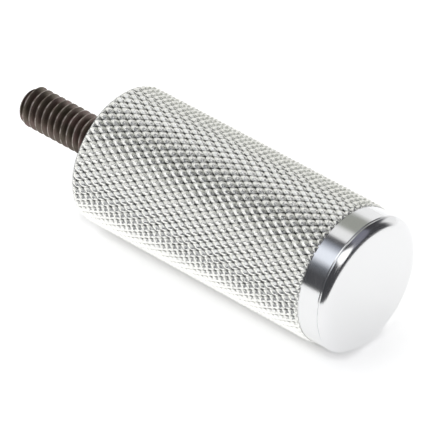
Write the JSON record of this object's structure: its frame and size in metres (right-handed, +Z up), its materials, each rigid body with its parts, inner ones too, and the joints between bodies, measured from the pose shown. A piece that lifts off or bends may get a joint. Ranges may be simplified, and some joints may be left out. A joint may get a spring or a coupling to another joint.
{
  "type": "foot peg",
  "caption": "Cylindrical foot peg with a diamond-knurled grip, a smooth polished end band with a rounded rim, and a threaded mounting stud.",
  "frame": {"origin": "centre of the flat shoulder face that seats against the bracket, on the peg's axis", "axes": "+X along the peg from the shoulder to the polished outer end, with the stud on -X; +Z up; +Y completes the right-handed frame"},
  "size_m": [0.0672, 0.0222, 0.0222],
  "materials": {
    "bright_aluminium": "turned, diamond knurled and polished bright",
    "black_oxide_steel": "black oxide with an oiled satin sheen, thread crests rubbed bright"
  },
  "bodies": {
    "root": {"grip_body": "bright_aluminium", "mounting_stud": "black_oxide_steel"}
  },
  "joints": []
}
